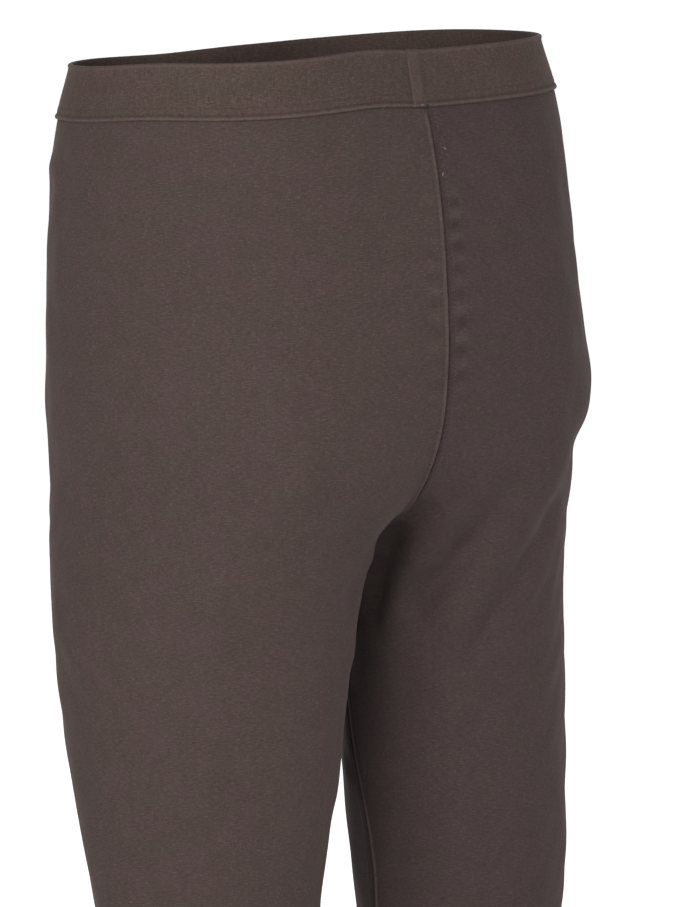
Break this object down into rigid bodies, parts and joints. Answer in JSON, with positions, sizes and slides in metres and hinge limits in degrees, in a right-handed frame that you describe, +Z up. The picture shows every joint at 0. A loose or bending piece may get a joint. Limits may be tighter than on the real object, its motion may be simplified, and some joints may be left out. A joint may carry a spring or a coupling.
{
  "type": "leggings",
  "caption": "Close-fitting stretch jersey trousers in their worn, hollow form, with a flat elastic waistband, a seam round the fork and slim tapering legs.",
  "frame": {"origin": "the middle of the waist opening, level with the waistband's upper edge, where the wearer's waist holds the garment up", "axes": "+Z up along the wearer, -Y the garment's front, +Y its back, +X the wearer's left"},
  "size_m": [0.3454, 0.2817, 0.9644],
  "materials": {
    "jersey_left": "matt brown cotton and elastane jersey",
    "jersey_right": "matt brown cotton and elastane jersey",
    "elastic_band": "brown elastic covered in jersey",
    "elastic_join": "brown elastic covered in jersey"
  },
  "bodies": {
    "root": {"leg_left": "jersey_left", "leg_right": "jersey_right", "waistband": "elastic_band", "waistband_join": "elastic_join"}
  },
  "joints": []
}
